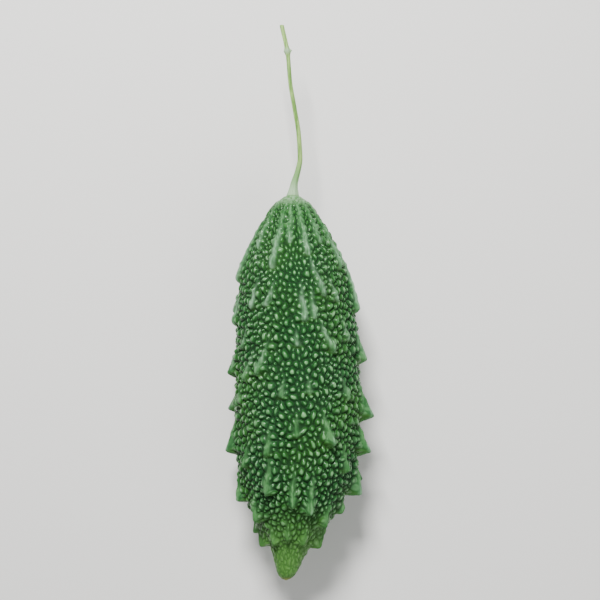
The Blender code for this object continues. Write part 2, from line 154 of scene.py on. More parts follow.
# What it adds to the warts: small grains in the gaps between them, and a round bead on each. Grains stand
# up to GRAIN_BARE_FIN on the teeth, and keep clear of the crests that are higher than CLEAR_CREST.
GRAIN_SEED = 11
GRAIN_DARTS = 60000
GRAIN_CLEARANCE = 0.68
GRAIN_SIZES = (0.5, 0.85)
GRAIN_BARE_FIN = 4.5 * MM
CLEAR_CREST = 1.2 * MM
BEAD_MOST = 0.8
BEAD_SIZES = (0.8, 1.25)
BEAD_LENGTHS = (1.0, 2.0)
BEAD_TILT = 0.8
BEAD_HEIGHT = 0.95
BEAD_FADES = (
    (0, 0.2), (0.05, 0.35), (0.12, 0.75), (0.2, 1.0), (0.88, 1.0), (0.95, 0.8), (0.98, 0.5), (1, 0.0),
)
BIG_BEAD_CHANCE = 0.5
BIG_BEADS = ((0, 1.8), (0.08, 1.5), (0.15, 1.0), (1, 1.0))
SMOOTH_FIN = 3.4 * MM
UP_STEP = 0.1 * MM
NEAR_BEADS = 10

# The skin's net of points
COLUMNS_PER_RIDGE = 40
COLUMNS = RIDGES * COLUMNS_PER_RIDGE
ROWS_PER_PITCH = 9

# The socket and the stalk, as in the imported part. The stalk's lists give values at distances from its foot.
SOCKET_RADIUS = 2.5 * MM
SOCKET_DEPTH = 2.4 * MM
TOUCH_GAP = 0.3 * MM
STALK_RIB = 0.07
STALK_RIBS = 5
STALK_LENGTH = 81 * MM
STALK_ASIDE = (
    (0, 0), (6 * MM, 0.7 * MM), (12 * MM, 2.4 * MM), (18 * MM, 3.5 * MM), (29 * MM, 2.9 * MM),
    (42 * MM, 0.8 * MM), (54 * MM, -1.2 * MM), (67 * MM, -2.3 * MM), (STALK_LENGTH, -5.2 * MM),
)
STALK_RISE = (
    (0, 0), (6 * MM, 0.3 * MM), (12 * MM, 1.0 * MM), (18 * MM, 2.0 * MM), (29 * MM, 4.0 * MM),
    (42 * MM, 6.2 * MM), (54 * MM, 7.8 * MM), (67 * MM, 8.8 * MM), (STALK_LENGTH, 9.2 * MM),
)
COLLAR_RADIUS = 3.1 * MM
JOINT_MARK = 68.5 * MM
STALK_RADII = (
    (0, COLLAR_RADIUS), (2 * MM, 2.5 * MM), (5 * MM, 1.85 * MM), (11 * MM, 1.35 * MM), (22 * MM, 1.1 * MM),
    (62 * MM, 0.95 * MM), (66 * MM, 1.0 * MM), (JOINT_MARK, 1.5 * MM), (71 * MM, 1.0 * MM),
    (STALK_LENGTH, 0.98 * MM),
)

# The rounded rim and the socket's wall, each ring by its radius and how far back from the rim it lies
RIM_RINGS = (
    (3.5 * MM, -0.12 * MM), (3.0 * MM, -0.15 * MM), (2.65 * MM, -0.05 * MM), (SOCKET_RADIUS, 0.15 * MM),
    (SOCKET_RADIUS, SOCKET_DEPTH),
)

# What the fine stalk adds: more sides, fine ribs between the main ones, and two small nubs on its joint,
# each by its angle round the stalk and how far it stands out
STALK_SIDES = 60
STALK_STEP = 0.5 * MM
FINE_RIB = 0.03
FINE_RIBS = 3 * STALK_RIBS
FINE_RIB_START = 2
FOOT_DROP = 0.2 * MM
JOINT_NUBS = ((0.2, 0.8 * MM), (3.0, 0.4 * MM))
NUB_LENGTH = 0.6 * MM
NUB_TURN = 0.35

# The cut end: rings from the skin inwards, each by its share of the radius and how far back it lies
CUT_RINGS = (
    (0.98, -0.03 * MM), (0.94, -0.06 * MM), (0.55, 0.02 * MM), (0.4, 0.14 * MM), (0.02, 0.3 * MM),
)

# The fruit's colours, as a screen shows them. A pair goes from the darker patches to the paler ones.
# Painted shade: the valleys' dark green is partly the skin's own colour and partly shade painted between the
# beads.
VALLEY_AND_SHADE = ((2, 36, 8), (8, 46, 8))
FLESH = ((18, 68, 26), (34, 82, 24))
# Painted highlight: the beads' pale tops are partly their own paler colour and partly a painted highlight.
CROWN_AND_HIGHLIGHT = ((62, 120, 64), (110, 162, 106))
PORES = (136, 176, 128)
FLANK = ((22, 70, 30), (46, 94, 46))
LEE = (60, 108, 30)
# Painted highlight: the pale crests are partly waxy pale skin and partly a painted highlight along them.
LOW_CREST_AND_HIGHLIGHT = ((54, 108, 54), (92, 144, 88))
HIGH_CREST_AND_HIGHLIGHT = ((92, 142, 96), (144, 186, 150))
BEAK = ((60, 104, 40), (80, 126, 56))
# Painted shade: the shoulder's darker colour is painted shade in the valleys between its beads.
SHOULDER_AND_SHADE = ((4, 40, 8), (44, 98, 40))
# Painted highlight: the shoulder's pale ribs are partly pale skin and partly a painted highlight.
SHOULDER_RIB_AND_HIGHLIGHT = ((44, 98, 46), (88, 140, 88))
RIM = ((78, 124, 70), (126, 164, 122))
SCAR = (140, 144, 84)

# How strong some of them are at most
PORE_STRENGTH = 0.13
FLANK_BEAD_STRENGTH = 0.5
LEE_STRENGTH = 0.6
CREST_STRENGTHS = (0.5, 0.85)
RIB_STRENGTH = 0.9

# Where they change: up a bead from its valley, up a tooth, and along the fruit by shares of its length
FLESH_BAND = (0.05, 0.6)
CROWN_BAND = (0.64, 1.0)
FLANK_BEAD_BAND = (0.0, 0.2)
BEAK_BEAD_BAND = (0.0, 0.9)
SHOULDER_BEAD_BAND = (0.1, 0.9)
FLANK_BAND = (0.15, 0.45)
TALL_CREST_BAND = (0.55, 0.9)
HIGH_CREST_BAND = (0.35, 0.8)
BEAK_BAND = (0.22, 0.04)
SHOULDER_BAND = (0.8, 0.95)
RIM_BAND = (0.96, 1.0)
SCAR_BAND = (0.012, 0.0)

# The stalk's colours, and where they change, as shares of its length
STALK_GREEN = ((92, 136, 54), (146, 182, 98))
STALK_SPECK = (178, 200, 140)
STALK_BASE = (112, 156, 92)
COLLAR = (142, 174, 132)
FOOT = (124, 164, 112)
JOINT = (146, 172, 140)
PITH = ((126, 142, 84), (196, 200, 160))
STALK_BASE_BAND = (0.25, 0.1)
COLLAR_BAND = (0.12, 0.03)
FOOT_BAND = (0.015, 0.0)
JOINT_BAND = (0.03, 0.0)

# How strong its specks and its joint are, and where on the cut end its flesh and its pith begin
SPECK_STRENGTH = 0.35
JOINT_STRENGTH = 0.8
CUT_START = 0.25
PITH_BAND = (0.65, 0.85)

# The materials' noises: the scale of each, and the span of it that goes from none to full
PATCH_SCALE = 45.0
CLOUD_SCALE = 260.0
STREAK_SCALE = 900.0
GRAIN_SCALE = 1500.0
PORE_SCALE = 4200.0
SPECK_SCALE = 2200.0
PATCHES = (0.35, 0.7)
CLOUDS = (0.3, 0.7)
STREAKS = (0.35, 0.65)
PORE_SPOTS = (0.5, 0.8)
SPECKS = (0.55, 0.75)
SKIN_STREAKING = (1, 0.15, 1)
STALK_STREAKING = (1, 0.08, 1)

# Gloss, and fine relief, which is given by its strength and its depth
SPECULAR = 0.3
GREEN_TINT = (0.75, 1.0, 0.75, 1.0)
SHINE_BAND = (0.1, 0.6)
VALLEY_ROUGHNESS = 0.85
BEAD_ROUGHNESS = 0.25
STALK_SHINE_BAND = (0.3, 0.7)
STALK_ROUGHNESS = (0.42, 0.58)
PORE_RELIEF = (0.3, 0.05 * MM)
GRAIN_RELIEF = (0.3, 0.15 * MM)
SPECK_RELIEF = (0.3, 0.06 * MM)
STREAK_RELIEF = (0.4, 0.15 * MM)

# The studio
FLOOR_REACH = 3.0
FLOOR_COLOUR = (0.78, 0.77, 0.74, 1)
FLOOR_ROUGHNESS = 0.9
AIM = (0, 0, 0.03)
KEY_PLACE = (-0.12, 0.5, 0.75)
KEY_SIZE = 0.25
KEY_POWER = 17
FILL_PLACE = (0.5, -0.6, 0.7)
FILL_SIZE = 0.9
FILL_POWER = 5
SKY_COLOUR = (0.93, 0.96, 1.0, 1)
SKY_STRENGTH = 0.27
CAMERA_LENS = 85
CAMERA_RISE = math.radians(84)
CAMERA_DISTANCE = 0.67

Tooth = namedtuple("Tooth", "turn swing peak rise fall height")


def smooth_through(pairs):
    """A smooth curve through the pairs, as a function of numbers or arrays. It never swings past them."""
    xs, ys = np.array(pairs, float).T
    widths = np.diff(xs)
    slopes = np.diff(ys) / widths
    before, after = slopes[:-1], slopes[1:]
    turns = before * after > 0
    middle = np.where(turns, 2 * before * after / np.where(turns, before + after, 1), 0.0)
    tangents = np.concatenate(([slopes[0]], middle, [slopes[-1]]))

    def at(x):
        x = np.clip(x, xs[0], xs[-1])
        i = np.clip(np.searchsorted(xs, x) - 1, 0, len(slopes) - 1)
        width = widths[i]
        t = (x - xs[i]) / width
        return (
            (1 + 2 * t) * (1 - t) ** 2 * ys[i]
            + t * (1 - t) ** 2 * width * tangents[i]
            + t * t * (3 - 2 * t) * ys[i + 1]
            + t * t * (t - 1) * width * tangents[i + 1]
        )

    return at


radius_share = smooth_through(RADIUS_SHARES)
tooth_height = smooth_through(TOOTH_HEIGHTS)
tooth_pitch = smooth_through(TOOTH_PITCHES)
rise_shape = smooth_through(RISE_SHAPES)
wart_pitch = smooth_through(WART_PITCHES)
wart_stretch = smooth_through(WART_STRETCHES)
crest_shows = smooth_through(CREST_SHOWS)
crest_line = smooth_through(CREST_LINES)
bead_fade = smooth_through(BEAD_FADES)
big_beads = smooth_through(BIG_BEADS)


def radius(along):
    return FAT_RADIUS * radius_share(along / FRUIT_LENGTH)


def centre(along):
    """The middle of the fruit's cross-section, as x, y and z."""
    share = along / FRUIT_LENGTH
    bend = np.maximum(0.0, 1 - share / BEND_SHARE) ** 2
    side = SIDE_BOW * np.sin(math.pi * share) + TIP_SIDE_BEND * bend
    return side - ORIGIN_SIDE, along - ORIGIN_ALONG, AXIS_HEIGHT + 0 * along


def centre_point(along):
    """The middle of one cross-section, as an array."""
    return np.array([float(c) for c in centre(along)])


def slope(along):
    """How fast the radius grows along the axis."""
    low, high = np.maximum(along - SLOPE_REACH, 0.0), np.minimum(along + SLOPE_REACH, FRUIT_LENGTH)
    return (radius(high) - radius(low)) / (high - low)


def fall_of(height):
    """The length of a tooth's drop on its tip side."""
    return FALL_BASE + FALL_PER_HEIGHT * height


def lay_teeth():
    """Every tooth. Those of the lower ridges are drawn from the stalk down to the tip."""
    teeth = []
    for degrees, share, rise, height, swing in UPPER_TEETH:
        turn, swing = TURN / 4 - math.radians(degrees), -math.radians(swing)
        height *= MM
        teeth.append(Tooth(turn, swing, share * FRUIT_LENGTH, rise * MM, fall_of(height), height))
    draw = random.Random(TOOTH_SEED)
    for number in LOWER_RIDGES:
        top = FRUIT_LENGTH - TOP_MARGIN
        reach = draw.uniform(*TOP_REACH)
        while True:
            pitch = float(tooth_pitch(top / FRUIT_LENGTH)) * reach
            rise = pitch * draw.uniform(*RISE_SHARES)
            peak = top - rise
            height = float(tooth_height(peak / FRUIT_LENGTH)) * draw.uniform(*HEIGHT_SPREAD)
            if draw.random() < STUNTED_CHANCE:
                height *= STUNTED
            fall = fall_of(height)
            if peak - fall < LAST_TOOTH_SHARE * FRUIT_LENGTH:
                break
            wander, swing = draw.gauss(0, RIDGE_WANDER), draw.gauss(0, TOOTH_SWING)
            if number == 0:
                wander = swing = 0.0
            turn = FIRST_RIDGE + number * RIDGE_STEP + wander
            teeth.append(Tooth(turn, swing, peak, rise, fall, height))
            top = peak - fall - max(0.0, pitch - rise - fall) * draw.uniform(*GAP_SPREAD)
            reach = draw.uniform(*REACH_SPREAD)
    return teeth


def crest_turn(tooth, along):
    """Where a tooth's crest line is at a distance along the fruit."""
    return tooth.turn + tooth.swing * (along - tooth.peak) / tooth.rise


def crest(tooth, along):
    """The height of a tooth's crest. It rises slowly from the stalk's side and drops at its peak."""
    behind = (along - tooth.peak) / tooth.rise
    ahead = (tooth.peak - along) / tooth.fall
    rising = tooth.height * np.maximum(1 - behind, 0) ** rise_shape(tooth.peak / FRUIT_LENGTH)
    falling = tooth.height * np.maximum(1 - ahead, 0)
    soft = min(TIP_ROUNDING, TIP_ROUNDING_SHARE * tooth.height)
    blend = np.maximum(1 - np.abs(rising - falling) / soft, 0)
    return np.maximum(np.minimum(rising, falling) - blend ** 2 * soft / 4, 0)


def fin(teeth, turn, along):
    """The height of the teeth over places, with concave flanks that run out into the skin, and how near
    each place is to a crest line, from 0 to 1."""
    best, line = np.zeros(turn.shape), np.zeros(turn.shape)
    for number, tooth in enumerate(teeth):
        near = np.flatnonzero((along > tooth.peak - tooth.fall) & (along < tooth.peak + tooth.rise))
        height = crest(tooth, along[near])
        away = (turn[near] - crest_turn(tooth, along[near]) + TURN / 2) % TURN - TURN / 2
        wave = CREST_WAVE * np.sin(TURN * along[near] / CREST_WAVE_LENGTH + number)
        far = away * radius(along[near]) + wave
        side = np.hypot(far, CREST_ROUNDING) - CREST_ROUNDING
        best[near] = np.maximum(best[near], height * np.exp(-side / (FLANK_WIDTH + FLANK_GROWTH * height)))
        shows = np.clip(height / crest_shows(along[near] / FRUIT_LENGTH), 0, 1)
        mark = np.exp(-(far / crest_line(height)) ** 2) * shows
        line[near] = np.maximum(line[near], mark)
    return best, line


def lee_of(teeth, turn, along):
    """How steeply the teeth drop towards the tip at places, from 0 to 1."""
    ahead = fin(teeth, turn, along + LEE_REACH)[0] - fin(teeth, turn, along - LEE_REACH)[0]
    return np.clip(ahead / (2 * LEE_REACH), 0, STEEPEST_LEE) / STEEPEST_LEE


def waves(terms, turn, share):
    """The sum of waves that run round the fruit and along it."""
    return sum(size * np.sin(count * turn + phase + drift * share) for size, count, phase, drift in terms)


def skin_points(turn, along, raised, lift):
    """The points of the surface at places, raised by their teeth and lifted by their warts."""
    reach = radius(along) * (1 + waves(LOBES, turn, along / FRUIT_LENGTH))
    steep = slope(along)
    long = np.hypot(1, steep)
    out = reach + (raised + lift) / long
    x, y, z = centre(along)
    back = (raised + lift) * steep / long + TOOTH_LEAN * raised
    return np.stack([x + np.cos(turn) * out, y - back, z + np.sin(turn) * out], axis=-1)


def measure():
    """Tables along the fruit: marks, the even map's length up to each mark, and the room for warts."""
    step = FRUIT_LENGTH / TABLE_STEPS
    along = (np.arange(TABLE_STEPS) + 0.5) * step
    length = step * np.hypot(1, slope(along))
    pitch, stretch = wart_pitch(along / FRUIT_LENGTH), wart_stretch(along / FRUIT_LENGTH)
    marks = np.linspace(0, FRUIT_LENGTH, TABLE_STEPS + 1)
    even = np.concatenate(([0], np.cumsum(length / (stretch * pitch))))
    crowd = np.concatenate(([0], np.cumsum(length * radius(along) / (stretch * pitch ** 2))))
    return marks, even, crowd


def even_points(marks, even, turn, along):
    """Places on a spindle where neighbouring warts stand about 1 apart everywhere."""
    reach = radius(along) / wart_pitch(along / FRUIT_LENGTH)
    return np.stack([reach * np.cos(turn), np.interp(along, marks, even), reach * np.sin(turn)], axis=-1)


def crest_places(tooth):
    """The places that a tooth's crest needs, from its stalk end to its tip end."""
    steps = max(2, round(tooth.rise / CREST_STEP))
    marks = [tooth.peak + tooth.rise * n / steps for n in range(steps, -1, -1)] + [tooth.peak - tooth.fall]
    return [(crest_turn(tooth, along), along) for along in marks]


def keep_clear(cells, points, least):
    """The numbers of the points that are at least so far from all kept before them."""
    kept = []
    for number, point in enumerate(points):
        x, y, z = (math.floor(c) for c in point)
        near = (
            other
            for i in (-1, 0, 1) for j in (-1, 0, 1) for k in (-1, 0, 1)
            for other in cells.get((x + i, y + j, z + k), ())
        )
        if all(math.dist(other, point) >= least for other in near):
            cells.setdefault((x, y, z), []).append(point)
            kept.append(number)
    return kept


def throw_warts(teeth, marks, even, crowd):
    """The warts' turn, along, height, size, lengthening, tilt and tone, as arrays. Grains come last."""
    crests = np.array([
        (*place, crest(tooth, place[1])) for tooth in teeth for place in crest_places(tooth)
    ]).T
    crest_points = even_points(marks, even, crests[0], crests[1])
    high = crests[2] > CLEAR_CREST
    sets, points = [], []
    for seed, darts, least, bare, held in (
        (WART_SEED, WART_DARTS, WART_CLEARANCE, BARE_FIN, crest_points.tolist()),
        (GRAIN_SEED, GRAIN_DARTS, GRAIN_CLEARANCE, GRAIN_BARE_FIN, crest_points[high].tolist()),
    ):
        cells = {}
        for point in held + points:
            cells.setdefault(tuple(math.floor(c) for c in point), []).append(point)
        draw = random.Random(seed)
        drawn = np.array([(draw.random(), draw.random(), draw.uniform(*WART_SPREAD)) for _ in range(darts)])
        along = np.interp(drawn[:, 0] * crowd[-1], crowd, marks)
        turn = FIRST_RIDGE + drawn[:, 1] * TURN
        open_skin = (along > BARE_TIP) & (along < FRUIT_LENGTH - BARE_RIM)
        open_skin &= fin(teeth, turn, along)[0] <= bare
        turn, along, spread = turn[open_skin], along[open_skin], drawn[open_skin, 2]
        thrown = even_points(marks, even, turn, along).tolist()
        kept = keep_clear(cells, thrown, least)
        points += [thrown[n] for n in kept]
        sets.append((turn[kept], along[kept], spread[kept]))
    bead_count, grain_count = len(sets[0][0]), len(sets[1][0])
    turn, along, spread = (np.concatenate(pair) for pair in zip(*sets))
    draw = np.random.default_rng(GRAIN_SEED)
    size = np.concatenate([draw.uniform(*BEAD_SIZES, bead_count), draw.uniform(*GRAIN_SIZES, grain_count)])
    height = WART_HEIGHT_PER_PITCH * wart_pitch(along / FRUIT_LENGTH) * spread * size
    big = draw.random(len(turn)) < BIG_BEAD_CHANCE
    grown = np.where(big, big_beads(along / FRUIT_LENGTH), 1.0)
    size, height = size * grown, height * np.sqrt(grown)
    length = draw.uniform(*BEAD_LENGTHS, len(turn)) * grown
    tilt = draw.normal(0, BEAD_TILT, len(turn))
    tone = draw.random(len(turn))
    return turn, along, height, size, length, tilt, tone


def bead_relief(marks, even, warts, turn, along):
    """How high beads lift the skin at places, how high up its bead each place is, and its bead's tone."""
    wart_turn, wart_along, height, size, length, tilt, tone = warts
    centres = even_points(marks, even, wart_turn, wart_along)
    up = even_points(marks, even, wart_turn, wart_along + UP_STEP) - centres
    up /= np.linalg.norm(up, axis=1, keepdims=True)
    across = np.stack([-np.sin(wart_turn), 0 * wart_turn, np.cos(wart_turn)], axis=-1)
    tree = kdtree.KDTree(len(centres))
    for number, point in enumerate(centres.tolist()):
        tree.insert(point, number)
    tree.balance()
    points = even_points(marks, even, turn, along)
    found = np.array([[hit[1] for hit in tree.find_n(point, NEAR_BEADS)] for point in points.tolist()])

    # How far each place is from the beads near it, in shares of their sizes and along their tilted axes
    offset = points[:, None, :] - centres[found]
    u = (offset * across[found]).sum(-1)
    v = (offset * up[found]).sum(-1)
    c, s = np.cos(tilt[found]), np.sin(tilt[found])
    stretch = np.sqrt(length[found])
    apart = np.hypot((u * c + v * s) * stretch, (v * c - u * s) / stretch) / size[found]
    order = np.argsort(apart, axis=1)[:, :2]
    rows = np.arange(len(points))
    nearest = found[rows, order[:, 0]]
    first, second = apart[rows, order[:, 0]], apart[rows, order[:, 1]]

    # A bead ends where its neighbour is as near, or at BEAD_MOST.
    outwards = np.maximum(2 * first / (first + second), first / BEAD_MOST)
    dome = np.clip(1 - outwards ** 2, 0, 1)
    lift = BEAD_HEIGHT * height[nearest] * dome * bead_fade(along / FRUIT_LENGTH)
    return lift, dome, tone[nearest]


def end_points(turn):
    """The rings over the rim and down the socket, then the tip and the middle of the socket's floor."""
    middle = centre_point(FRUIT_LENGTH)
    outward = skin_points(turn, np.full(COLUMNS, FRUIT_LENGTH), 0 * turn, 0 * turn) - middle
    outward /= np.linalg.norm(outward, axis=1, keepdims=True)
    rings = [middle + outward * reach - np.array([0, back, 0]) for reach, back in RIM_RINGS]
    return np.concatenate([*rings, [centre_point(0.0)], [middle - np.array([0, SOCKET_DEPTH, 0])]])


def net_faces(rows):
    """The quads between the rings, then the fans round the tip and round the socket's middle, as arrays."""
    r, c = (a.ravel() for a in np.meshgrid(np.arange(rows - 1), np.arange(COLUMNS), indexing="ij"))
    n = (c + 1) % COLUMNS
    low, high = r * COLUMNS, (r + 1) * COLUMNS
    quads = np.stack([low + c, high + c, high + n, low + n], axis=-1)
    c = np.arange(COLUMNS)
    n = (c + 1) % COLUMNS
    last, tip = (rows - 1) * COLUMNS, rows * COLUMNS
    tip_fan = np.stack([c, n, 0 * c + tip], axis=-1)
    socket_fan = np.stack([last + n, last + c, 0 * c + tip + 1], axis=-1)
    return quads, tip_fan, socket_fan


def net_map(rows, quads):
    """The unrolled map of the net, as a place for each corner of each face, in the order of the faces."""
    heights = (np.arange(rows + 2) + 0.5) / (rows + 2)
    ring, column = quads // COLUMNS, quads % COLUMNS
    column = np.where((column == 0) & (column != quads[:, :1] % COLUMNS), COLUMNS, column)
    maps = [np.stack([column / COLUMNS, heights[ring + 1]], axis=-1)]
    c = np.arange(COLUMNS)
    here, ahead, between = c / COLUMNS, (c + 1) / COLUMNS, (c + 0.5) / COLUMNS
    for corners, edge, point in (
        ((here, ahead, between), heights[1], heights[0]),
        ((ahead, here, between), heights[-2], heights[-1]),
    ):
        u = np.stack(corners, axis=-1)
        maps.append(np.stack([u, np.broadcast_to([edge, edge, point], u.shape)], axis=-1))
    return np.concatenate([part.reshape(-1, 2) for part in maps])


def put_reading(mesh, name, values):
    """Stores a number for each point, which the material reads by its name."""
    mesh.attributes.new(name, "FLOAT", "POINT").data.foreach_set("value", values)


def add_object(name, mesh):
    made = bpy.data.objects.new(name, mesh)
    bpy.context.scene.collection.objects.link(made)
    return made


def build_fruit(finish):
    """The fruit: a fine net over the toothed and beaded skin, closed at the tip and in the socket."""
    teeth = lay_teeth()
    marks, even, crowd = measure()
    warts = throw_warts(teeth, marks, even, crowd)
    rows = round(even[-1] * ROWS_PER_PITCH)
    along = np.interp(np.linspace(0, even[-1], rows + 1)[1:], even, marks)
    turn = FIRST_RIDGE + TURN * np.arange(COLUMNS) / COLUMNS
    turns, alongs = (a.ravel() for a in np.meshgrid(turn, along))
    raised, line = fin(teeth, turns, alongs)
    lift, dome, tone = bead_relief(marks, even, warts, turns, alongs)
    # The beads fade out on the teeth.
    smooth = 1 / (1 + (raised / SMOOTH_FIN) ** 3)
    points = skin_points(turns, alongs, raised, lift * smooth)
    ends = end_points(turn)
    verts = np.concatenate([points, ends])

    # The lowest teeth are worn flat where they touch the surface.
    verts[:, 2] = np.maximum(verts[:, 2], 0)

    rows += len(RIM_RINGS)
    faces = net_faces(rows)
    mesh = bpy.data.meshes.new("gourd_fruit")
    mesh.from_pydata(verts.tolist(), [], [face for part in faces for face in part.tolist()])
    mesh.uv_layers.new(name="OFBake").data.foreach_set("uv", net_map(rows, faces[0]).ravel())

    # What the skin's material reads at each point, and its value on the rim, in the socket and at the tip
    for name, values, end_value, tip_value in (
        ("bead", dome * smooth, 0, 0),
        ("tone", tone, 0.5, 0.5),
        ("tooth", raised / TALL_TOOTH, 0, 0),
        ("edge", line, 0, 0),
        ("lee", lee_of(teeth, turns, alongs), 0, 0),
        ("along", alongs / FRUIT_LENGTH, 1, 0),
    ):
        end_values = np.full(len(ends), float(end_value))
        end_values[-2] = tip_value
        put_reading(mesh, name, np.concatenate([values, end_values]))
    mesh.shade_smooth()
    mesh.materials.append(finish)
    fruit = add_object("gourd_fruit", mesh)
    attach(fruit, "root")
    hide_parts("fruit")


def stalk_rings():
    """The stalk's rings from its root to its cut end. Each is a place, a heading, a size, a distance from the
    foot, whether it is ribbed, and how far into the cut it lies, from 0 on the skin to 1 in the middle."""
    neck = Vector(centre_point(FRUIT_LENGTH))
    aside = smooth_through(STALK_ASIDE)
    rise = smooth_through(STALK_RISE)
    thick = smooth_through(STALK_RADII)

    def middle(mark):
        return neck + Vector((float(aside(mark)), mark + TOUCH_GAP, float(rise(mark))))

    straight = Vector((0, 1, 0))
    root = neck + (TOUCH_GAP - SOCKET_DEPTH) * straight
    foot = middle(0) - FOOT_DROP * straight
    inside = SOCKET_RADIUS - TOUCH_GAP
    rings = [
        (root, straight, inside, 0, 0, 0),
        (foot, straight, inside, 0, 0, 0),
        (foot, straight, COLLAR_RADIUS, 0, 1, 0),
    ]
    steps = round(STALK_LENGTH / STALK_STEP)
    for n in range(1, steps + 1):
        mark = STALK_LENGTH * n / steps
        ahead = (middle(mark + MM) - middle(mark - MM)).normalized()
        rings.append((middle(mark), ahead, float(thick(mark)), mark, 1, 0))
    end, ahead, size, mark, _, _ = rings[-1]
    for share, back in CUT_RINGS:
        rings.append((end - ahead * back, ahead, size * share, mark, 1, 1 - 0.5 * share))
    return rings


def stalk_reach(size, ribbed, mark, angle):
    """How far out the stalk's skin is at an angle, with its ribs and the nubs on its joint."""
    rib = STALK_RIB * math.cos(STALK_RIBS * angle) + FINE_RIB * math.cos(FINE_RIBS * angle + FINE_RIB_START)
    out = size * (1 + ribbed * rib)
    for turn, reach in JOINT_NUBS:
        apart = math.remainder(angle - turn, TURN)
        out += reach * math.exp(-((mark - JOINT_MARK) / NUB_LENGTH) ** 2 - (apart / NUB_TURN) ** 2)
    return out


def build_stalk(finish):
    """A ribbed stalk with a flared collar, a small joint with two nubs, and a cut end with its pith."""
    rings = stalk_rings()
    verts, marks, cuts = [], [], []
    for point, ahead, size, mark, ribbed, cut in rings:
        across = (Vector((1, 0, 0)) - ahead * ahead.x).normalized()
        up = across.cross(ahead)
        for side in range(STALK_SIDES):
            angle = TURN * side / STALK_SIDES
            heading = across * math.cos(angle) + up * math.sin(angle)
            verts.append(point + heading * stalk_reach(size, ribbed, mark, angle))
            marks.append(mark / STALK_LENGTH)
            cuts.append(cut)
    faces = []
    for low in range(0, (len(rings) - 1) * STALK_SIDES, STALK_SIDES):
        high = low + STALK_SIDES
        for s in range(STALK_SIDES):
            n = (s + 1) % STALK_SIDES
            faces.append((low + s, low + n, high + n, high + s))
    last = (len(rings) - 1) * STALK_SIDES
    faces.append(tuple(range(STALK_SIDES))[::-1])
    faces.append(tuple(range(last, last + STALK_SIDES)))
    mesh = bpy.data.meshes.new("gourd_stalk")
    mesh.from_pydata([tuple(v) for v in verts], [], faces)
    put_reading(mesh, "mark", marks)
    put_reading(mesh, "cut", cuts)
    mesh.shade_smooth()
    mesh.materials.append(finish)
    stalk = add_object("gourd_stalk", mesh)
    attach(stalk, "root")
    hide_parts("stalk")


class Nodes:
    """A material's node tree, with short ways to add the nodes that this object's materials use."""

    def __init__(self, name):
        self.material = bpy.data.materials.new(name)
        self.material.use_nodes = True
        self.tree = self.material.node_tree
        self.shader = self.tree.nodes["Principled BSDF"]

    def add(self, kind, **settings):
        node = self.tree.nodes.new(kind)
        for key, value in settings.items():
            setattr(node, key, value)
        return node

    def put(self, socket, value):
        if isinstance(value, bpy.types.NodeSocket):
            self.tree.links.new(value, socket)
        else:
            socket.default_value = value

    def reading(self, name):
        return self.add("ShaderNodeAttribute", attribute_name=name).outputs["Fac"]

    def math(self, how, *values):
        node = self.add("ShaderNodeMath", operation=how)
        for socket, value in zip(node.inputs, values):
            self.put(socket, value)
        return node.outputs[0]

    def ramp(self, value, low, high, first=0.0, last=1.0):
        """A smooth step: first up to low, last from high on."""
        node = self.add("ShaderNodeMapRange", interpolation_type="SMOOTHSTEP")
        for socket, given in zip(node.inputs, (value, low, high, first, last)):
            self.put(socket, given)
        return node.outputs[0]

    def mix(self, share, first, second):
        node = self.add("ShaderNodeMix", data_type="RGBA")
        self.put(node.inputs[0], share)
        self.put(node.inputs[6], first)
        self.put(node.inputs[7], second)
        return node.outputs[2]

    def blend(self, share, pair):
        """A pair's colours, mixed by a share."""
        return self.mix(share, srgb(*pair[0]), srgb(*pair[1]))

    def noise(self, scale, detail, stretch=(1, 1, 1)):
        where = self.add("ShaderNodeTexCoord").outputs["Object"]
        sized = self.add("ShaderNodeMapping")
        self.put(sized.inputs["Vector"], where)
        sized.inputs["Scale"].default_value = stretch
        node = self.add("ShaderNodeTexNoise")
        self.put(node.inputs["Vector"], sized.outputs[0])
        node.inputs["Scale"].default_value = scale
        node.inputs["Detail"].default_value = detail
        return node.outputs["Fac"]

    def bump(self, height, strength, distance, under=None):
        node = self.add("ShaderNodeBump")
        node.inputs["Strength"].default_value = strength
        node.inputs["Distance"].default_value = distance
        self.put(node.inputs["Height"], height)
        if under is not None:
            self.put(node.inputs["Normal"], under)
        return node.outputs[0]


def srgb(red, green, blue):
    """A colour for a socket, from the 0 to 255 numbers that a screen shows."""
    shown = (red / 255, green / 255, blue / 255)
    return (*(c / 12.92 if c <= 0.04045 else ((c + 0.055) / 1.055) ** 2.4 for c in shown), 1.0)


